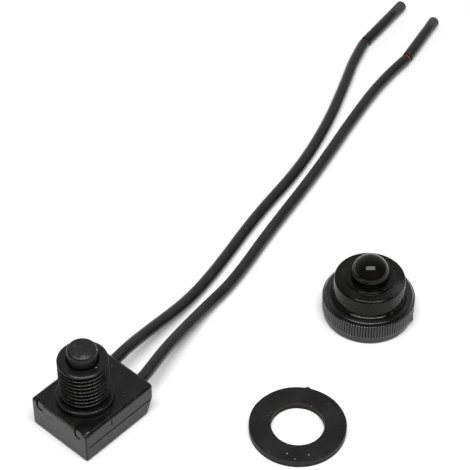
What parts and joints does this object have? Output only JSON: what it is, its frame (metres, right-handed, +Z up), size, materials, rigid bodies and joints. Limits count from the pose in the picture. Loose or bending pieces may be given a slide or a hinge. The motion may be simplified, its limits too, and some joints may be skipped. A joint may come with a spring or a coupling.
{
  "type": "push button switch",
  "caption": "Sealed push-on push-off lamp switch: box housing with threaded bushing and round button, two free leads, knurled nut with domed boot, and gasket washer.",
  "frame": {"origin": "on the bushing's axis, at the underside of the housing", "axes": "+Z up along the bushing towards the button, +X along the housing towards the leads, +Y to the left lead"},
  "size_m": [0.1524, 0.0799, 0.0212],
  "materials": {
    "housing_plastic": "matte moulded black plastic",
    "button_plastic": "matte moulded black plastic",
    "rotor_plastic": "natural white plastic",
    "nut_plastic": "satin moulded black plastic",
    "boot_rubber": "glossy soft black rubber",
    "gasket_rubber": "matte black rubber",
    "lead_insulation": "satin black soft insulation",
    "copper": "bare stranded copper",
    "brass": "stamped brass",
    "contact_metal": "silver-faced contact",
    "spring_steel": "drawn spring wire"
  },
  "bodies": {
    "housing": {"housing_base": "housing_plastic", "top_cover": "housing_plastic", "return_spring": "spring_steel", "terminal_left": "brass", "terminal_right": "brass", "rivet_left": "contact_metal", "rivet_right": "contact_metal", "lead_left_core": "copper", "lead_right_core": "copper", "lead_left_jacket": "lead_insulation", "lead_right_jacket": "lead_insulation", "lead_left_slug": "lead_insulation", "lead_right_slug": "lead_insulation", "lead_left_strands": "copper", "lead_right_strands": "copper", "cap_nut": "nut_plastic", "sealing_boot": "boot_rubber", "gasket_washer": "gasket_rubber"},
    "button": {"push_button": "button_plastic"},
    "rotor": {"ratchet_rotor": "rotor_plastic", "contact_star": "brass"}
  },
  "joints": [
    {"name": "button_press", "type": "slide", "parent": "housing", "child": "button", "axis": [0, 0, -1], "range_m": [0, 0.002], "stiffness_N_per_m": 800, "springref_m": -0.003, "deforming": ["return_spring"]},
    {"name": "rotor_turn", "type": "hinge", "parent": "housing", "child": "rotor", "pos_m": [0, 0, 0.004], "axis": [0, 0, 1], "range_deg": [0, 22.5]}
  ],
  "couplings": [
    {"joint": "rotor_turn", "follows": "button_press", "rad_per_m": 196.3}
  ]
}
